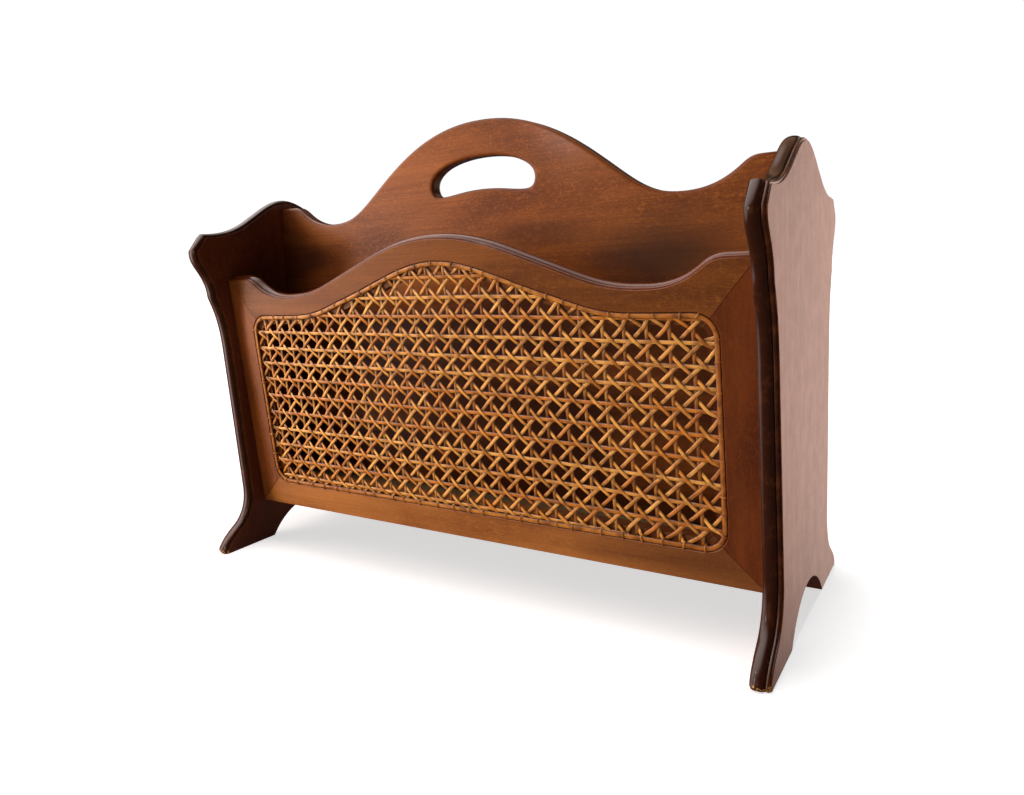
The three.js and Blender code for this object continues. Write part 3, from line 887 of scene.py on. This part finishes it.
class Shader:
    """Builds a node material one node at a time."""

    def __init__(self, name):
        self.material = bpy.data.materials.new(name)
        self.material.use_nodes = True
        self.tree = self.material.node_tree
        self.tree.nodes.clear()
        self.output = self.tree.nodes.new("ShaderNodeOutputMaterial")

    def add(self, kind, settings=None, **inputs):
        """A node with its inputs set or linked: by name, or by index as i0, i1 and so on."""
        node = self.tree.nodes.new("ShaderNode" + kind)
        for key, value in (settings or {}).items():
            setattr(node, key, value)
        for key, value in inputs.items():
            name = key.replace("_", " ")
            by_index = name[0] == "i" and name[1:].isdigit()
            socket = node.inputs[int(name[1:])] if by_index else node.inputs[name]
            if isinstance(value, bpy.types.NodeSocket):
                self.tree.links.new(value, socket)
            else:
                socket.default_value = value
        return node

    def mapped(self, source, offset, scale):
        """Coordinates scaled along each axis and moved."""
        node = self.add("Mapping", {"vector_type": "POINT"}, Vector=source, Location=offset, Scale=scale)
        return node.outputs["Vector"]

    def coordinates(self, stretch, offset=(0, 0, 0)):
        """Object coordinates in millimetres, divided by the stretch along each axis."""
        source = self.add("TexCoord").outputs["Object"]
        return self.mapped(source, offset, tuple(1 / (MM * s) for s in stretch))

    def noise(self, vector, detail, roughness, distortion=0.0):
        node = self.add("TexNoise", None, Vector=vector, Scale=1.0, Detail=detail, Roughness=roughness,
                        Distortion=distortion)
        return node.outputs["Fac"]

    def span(self, value, low, high, to_low=0.0, to_high=1.0):
        """Smoothly remaps a value between two limits."""
        node = self.add("MapRange", {"interpolation_type": "SMOOTHSTEP"}, Value=value, From_Min=low,
                        From_Max=high, To_Min=to_low, To_Max=to_high)
        return node.outputs["Result"]

    def maths(self, operation, a, b=0.5):
        return self.add("Math", {"operation": operation}, i0=a, i1=b).outputs[0]

    def mix(self, factor, a, b):
        """Blends two colours; a factor of 0 gives the first."""
        return self.add("Mix", {"data_type": "RGBA"}, i0=factor, i6=a, i7=b).outputs[2]

    def attribute(self, name, output="Fac"):
        return self.add("Attribute", {"attribute_name": name}).outputs[output]

    def cloud(self, middle, spread, ragged, depth):
        """A soft dark cloud of painted shade about a place (millimetres), its outline made ragged by a
        noise.
        """
        offset = tuple(-at / size for at, size in zip(middle, spread))
        at = self.coordinates(spread, offset)
        away = self.add("VectorMath", {"operation": "LENGTH"}, i0=at).outputs["Value"]
        away = self.maths("ADD", away, self.span(ragged, 0.3, 0.7, -0.35, 0.35))
        return self.span(away, 0.3, 1.1, depth, 0.0)

    def chips(self, moulding, shift):
        """Where the staining is knocked off a moulding: at the very foot, and specks a little higher."""
        source = self.add("TexCoord").outputs["Object"]
        height = self.add("SeparateXYZ", None, Vector=source).outputs["Z"]
        speck = self.noise(self.coordinates((1.6, 1.6, 2.6), shift), 3, 0.6)
        need = self.span(height, 0.001, 0.007, 0.47, 0.71)
        need = self.maths("ADD", need, self.span(height, 0.03, 0.09, 0.0, 0.3))
        chipped = self.maths("GREATER_THAN", speck, need)
        return self.maths("MULTIPLY", chipped, moulding)

    def bump(self, height, strength, distance):
        node = self.add("Bump", None, Height=height, Strength=strength, Distance=distance)
        return node.outputs["Normal"]

    def surface(self, base, roughness, normal=None, **constants):
        shader = self.add("BsdfPrincipled", None, Base_Color=base, Roughness=roughness)
        for key, value in constants.items():
            shader.inputs[key.replace("_", " ")].default_value = value
        if normal is not None:
            self.tree.links.new(normal, shader.inputs["Normal"])
        self.tree.links.new(shader.outputs[0], self.output.inputs[0])
        return self.material


# Colour of the darkest staining, in the pores; mixed with the wood's dark tone it is also the colour of the
# painted shade clouds.
DEEP_STAIN_AND_SHADE = colour(24, 10, 4)
BARE_WOOD = colour(196, 140, 80)
EDGE = colour(50, 22, 10)
RAIL_EDGE = colour(92, 44, 20)
# Lighter edge colour: partly where the staining is rubbed off, partly a painted highlight along the arrises.
RUBBED_AND_HIGHLIT_EDGE = colour(136, 70, 28)
WOOD_SPECULAR = 0.3
COAT_ROUGHNESS = 0.14


def grain(s, axis, shift, figure, pores):
    """Masks of the wood's figure along its grain, from broad tones down to single pores."""
    def streaks(across, along, detail, roughness, distortion=0.0):
        stretch = tuple(along if name == axis else across for name in "XYZ")
        return s.noise(s.coordinates(stretch, shift), detail, roughness, distortion)

    return {
        "tone": streaks(60, 210, 3, 0.5, 0.6),
        "bands": streaks(6, 300, 4, 0.6, 0.3),
        "fibre": streaks(0.7, 90, 5, 0.65),
        "fleck": streaks(3.2, 9, 4, 0.6, 1.6),
        "curl": s.span(streaks(1.7, 3.4, 2, 0.5, 2.2), 0.53, 0.63, 0.0, 0.75 * figure),
        "pore": s.span(streaks(0.5, 9, 2, 0.5), 0.66, 0.74, 0.0, pores),
    }


def figured(s, masks, light, middle, dark, figure, clouds):
    """Colour of the plain wood: mottled, banded, flecked, its pores stained, with any dark clouds of painted
    shade.
    """
    # Colour of the painted shade.
    cloud_shade_tone = s.mix(0.4, dark, DEEP_STAIN_AND_SHADE)
    mottled = s.mix(s.span(masks["tone"], 0.32, 0.68), dark, light)
    base = s.mix(0.55, middle, mottled)
    base = s.mix(s.span(masks["bands"], 0.35, 0.72, 0.0, 0.35), base, dark)
    base = s.mix(s.span(masks["fleck"], 0.5, 0.75, 0.0, figure), base, light)
    base = s.mix(masks["curl"], base, light)
    base = s.mix(s.span(masks["fibre"], 0.3, 0.72, 0.0, 0.35), base, dark)
    base = s.mix(masks["pore"], base, s.mix(0.7, dark, DEEP_STAIN_AND_SHADE))
    # Painted shade: each cloud darkens the wood towards the colour above.
    for middle_of, spread, depth in clouds:
        base = s.mix(s.cloud(middle_of, spread, masks["tone"], depth), base, cloud_shade_tone)
    return base


def worn_and_highlit_edges(s, base, rub, moulding, shift, edge):
    """Lays the darker moulding, its arrises lightened (partly rubbed, partly a painted highlight) and its
    chips over the plain wood.
    """
    arris = s.attribute("arris")
    edge_tone = s.mix(s.span(rub, 0.5, 0.85, 0.0, 0.4), edge, RUBBED_AND_HIGHLIT_EDGE)
    base = s.mix(moulding, base, edge_tone)
    # Arrises lightened: partly rubbed, partly a painted highlight.
    base = s.mix(s.maths("MULTIPLY", arris, s.span(rub, 0.35, 0.62, 0.1, 0.7)), base, RUBBED_AND_HIGHLIT_EDGE)
    return s.mix(s.chips(moulding, shift), base, BARE_WOOD)


def polish(s, roughness, rub, masks, moulding):
    """Roughness: duller in the pores, glossier on the moulding."""
    rough = s.maths("ADD", roughness, s.span(rub, 0.3, 0.7, -0.02, 0.03))
    rough = s.maths("ADD", rough, s.span(masks["fibre"], 0.3, 0.7, -0.02, 0.04))
    rough = s.maths("ADD", rough, s.maths("MULTIPLY", masks["pore"], 0.15))
    return s.maths("SUBTRACT", rough, s.maths("MULTIPLY", moulding, 0.23))


def wood(name, axis, offset, light, middle, dark, edge=EDGE, figure=0.5, pores=0.5, roughness=0.36,
         coat=0.25, clouds=()):
    """Polished mahogany, its grain along one axis. Mouldings are stained darker, their arrises lightened,
    partly where the staining is rubbed off and partly as a painted highlight; any clouds are painted shade.
    """
    s = Shader(name)
    shift = (offset, offset * 1.7, offset * 2.3)
    masks = grain(s, axis, shift, figure, pores)
    moulding = s.attribute("moulding")
    rub = s.noise(s.coordinates((14, 14, 14), shift), 4, 0.65)
    base = figured(s, masks, light, middle, dark, figure, clouds)
    base = worn_and_highlit_edges(s, base, rub, moulding, shift, edge)
    rough = polish(s, roughness, rub, masks, moulding)
    relief = s.maths("SUBTRACT", s.maths("MULTIPLY", masks["fibre"], 0.35), masks["pore"])
    relief = s.maths("ADD", relief, masks["curl"])
    normal = s.bump(relief, 0.25, 0.00012)
    return s.surface(base, rough, normal, Specular_IOR_Level=WOOD_SPECULAR, Coat_Weight=coat,
                     Coat_Roughness=COAT_ROUGHNESS)


def cane(name, light, middle, dark, deep, half_width, offset=0.0):
    """Stained, varnished cane: streaks along each strand, and painted shade along its edges and where it
    lies low under other strands.
    """
    s = Shader(name)
    along = s.attribute("cane", "Vector")
    tone = s.attribute("tone")
    sunk_shade = s.attribute("sunk_shade")
    across = s.maths("ABSOLUTE", s.add("SeparateXYZ", None, Vector=along).outputs["Y"])
    streak = s.noise(s.mapped(along, (offset, 0, 0), (0.045, 1.6, 1.0)), 4, 0.6)
    blotch = s.noise(s.mapped(along, (offset, 0, 0), (0.08, 0.1, 1.0)), 3, 0.6)
    base = s.mix(s.span(tone, 0.0, 1.0), middle, light)
    base = s.mix(s.span(blotch, 0.42, 0.66, 0.0, 0.8), base, dark)
    base = s.mix(s.span(streak, 0.5, 0.75, 0.0, 0.5), base, dark)
    # Painted shade: darker at a strand's edges and where it lies low under other strands.
    at_edge = s.span(across, 0.62 * half_width, half_width, 0.0, 0.9)
    strand_shade = s.maths("MAXIMUM", at_edge, s.span(sunk_shade, 0.35, 1.05, 0.0, 0.85))
    base = s.mix(strand_shade, base, deep)
    rough = s.span(streak, 0.3, 0.7, 0.24, 0.4)
    normal = s.bump(streak, 0.35, 0.0002)
    return s.surface(base, rough, normal, Specular_IOR_Level=0.5, Coat_Weight=0.4, Coat_Roughness=0.12)


def steel(name):
    s = Shader(name)
    wear = s.noise(s.coordinates((1.4, 1.4, 1.4)), 4, 0.6)
    base = s.mix(s.span(wear, 0.35, 0.7), colour(150, 148, 142), colour(96, 88, 78))
    rough = s.span(wear, 0.3, 0.7, 0.3, 0.55)
    return s.surface(base, rough, s.bump(wear, 0.2, 0.0001), Metallic=0.9)


def tones(**shades):
    return {name: colour(*shade) for name, shade in shades.items()}


# The frame members are lit and shaded copies of one wood: the top rail darker and the right stile darkest
# for painted shade, the bottom rail lighter for painted light.
TOP_RAIL_SHADED_TONES = tones(light=(158, 92, 32), middle=(118, 60, 13), dark=(72, 32, 5))
LOW_RAIL_LIT_TONES = tones(light=(192, 122, 56), middle=(158, 90, 36), dark=(102, 50, 14))
# Painted shade: a dark cloud over the right end of the bottom rail, where less light reaches.
LOW_RAIL_PAINTED_SHADE = [((250, -60, 45), (200, 90, 90), 0.6)]
LEFT_STILE_TONES = tones(light=(168, 94, 34), middle=(136, 68, 20), dark=(86, 38, 8))
RIGHT_STILE_SHADED_TONES = tones(light=(134, 64, 8), middle=(100, 42, 3), dark=(62, 24, 1))
DIVIDER_TONES = tones(light=(178, 102, 40), middle=(134, 64, 16), dark=(72, 30, 6))
# The left end panel's tones are darker than the right one's: painted shade on its inner face, which faces
# away from the light.
LEFT_PANEL_SHADED_TONES = tones(light=(132, 66, 36), middle=(98, 42, 20), dark=(60, 22, 10))
PANEL_TONES = tones(light=(160, 92, 60), middle=(130, 66, 40), dark=(88, 40, 22))
BOARD_TONES = tones(light=(150, 128, 90), middle=(124, 102, 70), dark=(88, 68, 46))
BEECH_TONES = tones(light=(214, 182, 138), middle=(198, 162, 116), dark=(168, 128, 84))
# Painted shade on the divider: dark clouds just above the front frame's top edge, low down behind the weave,
# and in the corner at the left end panel.
DIVIDER_PAINTED_SHADE = [((165, 0, 258), (95, 60, 34), 0.85), ((60, 0, 275), (70, 60, 16), 0.4),
                  ((0, 0, 130), (420, 200, 118), 0.9), ((-232, 0, 262), (62, 60, 62), 0.75)]
# The last tone of each cane is the colour of its painted shade, at strand edges and crossings.
CANE_TONES = tones(light=(244, 172, 80), middle=(208, 122, 36), dark=(138, 76, 22),
                   deep=(50, 22, 4))
BINDER_TONES = tones(light=(204, 130, 48), middle=(170, 96, 26), dark=(108, 52, 10),
                     deep=(50, 22, 4))


def make_materials():
    plain = dict(roughness=0.6, coat=0.0)
    return {
        "panel_left_shaded": wood("mahogany_left_panel_shaded", "Z", 31, figure=0.4, pores=0.8, **LEFT_PANEL_SHADED_TONES),
        "panel_right": wood("mahogany_right_panel", "Z", 4, figure=0.3, pores=0.9, **PANEL_TONES),
        "divider": wood("mahogany_divider_painted_shade", "X", 17, edge=RAIL_EDGE, figure=0.7, clouds=DIVIDER_PAINTED_SHADE,
                        **DIVIDER_TONES),
        "top_rail": wood("mahogany_top_rail_shaded", "X", 9, edge=RAIL_EDGE, **TOP_RAIL_SHADED_TONES),
        "bottom_rail": wood("mahogany_bottom_rail_lit_and_shaded", "X", 13, clouds=LOW_RAIL_PAINTED_SHADE, **LOW_RAIL_LIT_TONES),
        "left_stile": wood("mahogany_left_stile", "Z", 23, **LEFT_STILE_TONES),
        "right_stile": wood("mahogany_right_stile_shaded", "Z", 27, **RIGHT_STILE_SHADED_TONES),
        "board": wood("board_wood", "X", 3, **plain, **BOARD_TONES),
        "cleat": wood("cleat_wood", "Y", 5, **plain, **BOARD_TONES),
        "beech": wood("beech", "X", 7, figure=0.2, **plain, **BEECH_TONES),
        "cane": cane("woven_cane", half_width=STRAND_WIDTH / 2, **CANE_TONES),
        "binder": cane("binder_cane", half_width=BINDER_WIDTH / 2, offset=40, **BINDER_TONES),
        "steel": steel("screw_steel"),
    }


def paint_node(node, material):
    """Gives a CAD node that stays its material."""
    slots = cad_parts[node].data.materials
    slots.clear()
    slots.append(material)


# ---------- the rack

# material of each CAD node that stays, by the first of these words in its name
HIDDEN_PIECES = {"screw": "steel", "dowel": "beech", "spline": "beech", "cleat": "cleat", "board": "board"}


def build_rack(materials):
    stand_for(end_panel("left", -1), materials["panel_left_shaded"], "panel_wood", "left_end_panel")
    stand_for(end_panel("right", 1), materials["panel_right"], "panel_wood", "right_end_panel")
    stand_for(divider(), materials["divider"], "divider_wood", "handle_divider")
    for facing in ("front", "back"):
        for member in MEMBER_CUTS:
            piece, node = frame_member(facing, member)
            stand_for(piece, materials[member], "frame_wood", node)
        for piece in weave(facing):
            stand_for(piece, materials["cane"], "cane", f"{facing}_cane_panel")
        for piece in (binder(facing), binder_ties(facing)):
            stand_for(piece, materials["binder"], "binder_cane", f"{facing}_cane_binder")
    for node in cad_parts:
        for word, material in HIDDEN_PIECES.items():
            if word in node:
                paint_node(node, materials[material])
                break


# ---------- stage

FLOOR_SIZE = 30.0
FLOOR_WHITE = 0.8
FLOOR_GLOW_NEAR = 0.64
FLOOR_GLOW_FAR = 1.05
FLOOR_GLOW_FROM = 0.35
FLOOR_GLOW_TO = 0.9
BACKDROP = 1.02
ROOM_LIGHT = 0.04
# glows of the room: direction, where they begin (cosine), strength and tint
WINDOW_GLOW = ((-0.9, -0.42, 0.1), 0.82, 2.2, (1.0, 0.88, 0.84))
CEILING_GLOW = ((-0.6, -0.1, 1.0), 0.66, 3.4, (1.0, 0.88, 0.84))
WALL_GLOW = ((0.19, 0.976, -0.1), 0.86, 1.9, (1.0, 0.66, 0.55))
CAMERA_PLACE = (0.3549, -0.5193, 0.2552)
CAMERA_HEADING = 32.28       # degrees to the left of +Y
CAMERA_PITCH = -7.08
CAMERA_ROLL = 2.83
CAMERA_LENS = 26.25
CAMERA_FILM = 36
CAMERA_SHIFT = (-0.0089, -0.0406)


def make_floor():
    """Pale paper that turns white away from the rack; only the camera sees its own glow."""
    mesh = bpy.data.meshes.new("floor")
    bm = bmesh.new()
    bmesh.ops.create_grid(bm, x_segments=8, y_segments=8, size=FLOOR_SIZE)
    bm.to_mesh(mesh)
    bm.free()
    floor = bpy.data.objects.new("floor", mesh)
    bpy.context.scene.collection.objects.link(floor)
    floor.visible_glossy = False
    s = Shader("floor_paper")
    place = s.add("TexCoord").outputs["Object"]
    distance = s.add("VectorMath", {"operation": "LENGTH"}, i0=place).outputs["Value"]
    glow = s.span(distance, FLOOR_GLOW_FROM, FLOOR_GLOW_TO, FLOOR_GLOW_NEAR, FLOOR_GLOW_FAR)
    seen = s.add("LightPath").outputs["Is Camera Ray"]
    paper = s.add("BsdfDiffuse", None, Color=(FLOOR_WHITE, FLOOR_WHITE, FLOOR_WHITE, 1)).outputs[0]
    light = s.add("Emission", None, Color=(1, 1, 1, 1), Strength=s.maths("MULTIPLY", glow, seen)).outputs[0]
    both = s.add("AddShader", None, i0=paper, i1=light).outputs[0]
    s.tree.links.new(both, s.output.inputs[0])
    mesh.materials.append(s.material)
    return floor


def area_light(name, place, target, size, power, tint=(1, 1, 1)):
    data = bpy.data.lights.new(name, "AREA")
    data.shape = "RECTANGLE"
    data.size, data.size_y = size
    data.energy = power
    data.color = tint
    light = bpy.data.objects.new(name, data)
    bpy.context.scene.collection.objects.link(light)
    light.location = place
    aim = Vector(target) - Vector(place)
    light.rotation_euler = aim.to_track_quat("-Z", "Y").to_euler()
    light.visible_camera = False
    return light


def light_only(light, pieces):
    """Keeps a light to some of the objects."""
    lit = bpy.data.collections.new(f"lit_by_{light.name}")
    for piece in pieces:
        lit.objects.link(piece)
    light.light_linking.receiver_collection = lit


RACK_LIGHTS = {
    "window": dict(place=(-0.85, -0.5, 0.35), target=(0, 0, 0.15), size=(0.5, 0.5), power=12.2,
                   tint=(1.0, 0.95, 0.9)),
    "fill": dict(place=(-0.3, -1.8, 0.6), target=(0, 0, 0.15), size=(1.2, 1.2), power=2,
                 tint=(1.0, 0.6, 0.25)),
    "above": dict(place=(0.1, 0.9, 1.3), target=(0, 0, 0.25), size=(1.4, 0.7), power=1.2,
                  tint=(1.0, 0.55, 0.3)),
    "glint": dict(place=(-0.6, -1.3, 0.75), target=(0.2, 0, 0.2), size=(0.1, 0.4), power=1.5,
                  tint=(0.9, 0.95, 1.0)),
}
PAPER_LIGHT = dict(place=(0.12, 0.0, 3.0), target=(0.12, 0, 0), size=(0.6, 0.6), power=42)


def make_lights(floor):
    """Window light from the left for the rack, and a soft light above for the paper."""
    rack = [piece for piece in bpy.context.scene.objects if piece.type == "MESH" and piece != floor]
    lights = {name: area_light(name, **values) for name, values in RACK_LIGHTS.items()}
    lights["glint"].visible_diffuse = False
    lights["window"].visible_glossy = False
    for light in lights.values():
        light_only(light, rack)
    light_only(area_light("paper", **PAPER_LIGHT), [floor])


def make_world():
    """White where the camera looks past the rack; otherwise a dim room that shines in the polish."""
    world = bpy.data.worlds.new("studio")
    bpy.context.scene.world = world
    world.use_nodes = True
    tree = world.node_tree
    tree.nodes.clear()

    def node(kind, **values):
        made = tree.nodes.new("ShaderNode" + kind)
        for name, value in values.items():
            made.inputs[name].default_value = value
        return made

    def glow(direction, begins, strength, tint):
        """A soft bright region of the room about a direction."""
        toward = node("VectorMath")
        toward.operation = "DOT_PRODUCT"
        toward.inputs[1].default_value = Vector(direction).normalized()
        shade = node("MapRange", **{"From Min": begins, "From Max": 1.0, "To Min": 0.0, "To Max": strength})
        shade.interpolation_type = "SMOOTHSTEP"
        light = node("Background", Color=(*tint, 1))
        tree.links.new(node("TexCoord").outputs["Generated"], toward.inputs[0])
        tree.links.new(toward.outputs["Value"], shade.inputs["Value"])
        tree.links.new(shade.outputs["Result"], light.inputs["Strength"])
        return light

    def joined(kind, first, second, factor=None):
        made = node(kind)
        offset = 0 if factor is None else 1
        if factor is not None:
            tree.links.new(factor, made.inputs[0])
        tree.links.new(first.outputs[0], made.inputs[offset])
        tree.links.new(second.outputs[0], made.inputs[offset + 1])
        return made

    ray = node("LightPath")
    white = node("Background", Color=(1, 1, 1, 1), Strength=BACKDROP)
    dim = node("Background", Color=(1.0, 0.93, 0.86, 1), Strength=ROOM_LIGHT)
    sides = joined("AddShader", glow(*WINDOW_GLOW), glow(*WALL_GLOW))
    bright = joined("AddShader", sides, glow(*CEILING_GLOW))
    shining = joined("AddShader", dim, bright)
    room = joined("MixShader", shining, dim, ray.outputs["Is Diffuse Ray"])
    seen = joined("MixShader", room, white, ray.outputs["Is Camera Ray"])
    tree.links.new(seen.outputs[0], node("OutputWorld").inputs[0])


def make_camera():
    data = bpy.data.cameras.new("camera")
    data.sensor_width = CAMERA_FILM
    data.lens = CAMERA_LENS
    data.shift_x, data.shift_y = CAMERA_SHIFT
    data.clip_start = 0.01
    camera = bpy.data.objects.new("camera", data)
    bpy.context.scene.collection.objects.link(camera)
    heading = Matrix.Rotation(math.radians(CAMERA_HEADING), 4, "Z")
    tilt = Matrix.Rotation(math.radians(90 + CAMERA_PITCH), 4, "X")
    roll = Matrix.Rotation(math.radians(-CAMERA_ROLL), 4, "Z")
    camera.matrix_world = Matrix.Translation(CAMERA_PLACE) @ heading @ tilt @ roll
    bpy.context.scene.camera = camera


materials = make_materials()
build_rack(materials)
make_lights(make_floor())
make_world()
make_camera()
bpy.context.scene.view_settings.view_transform = "Standard"
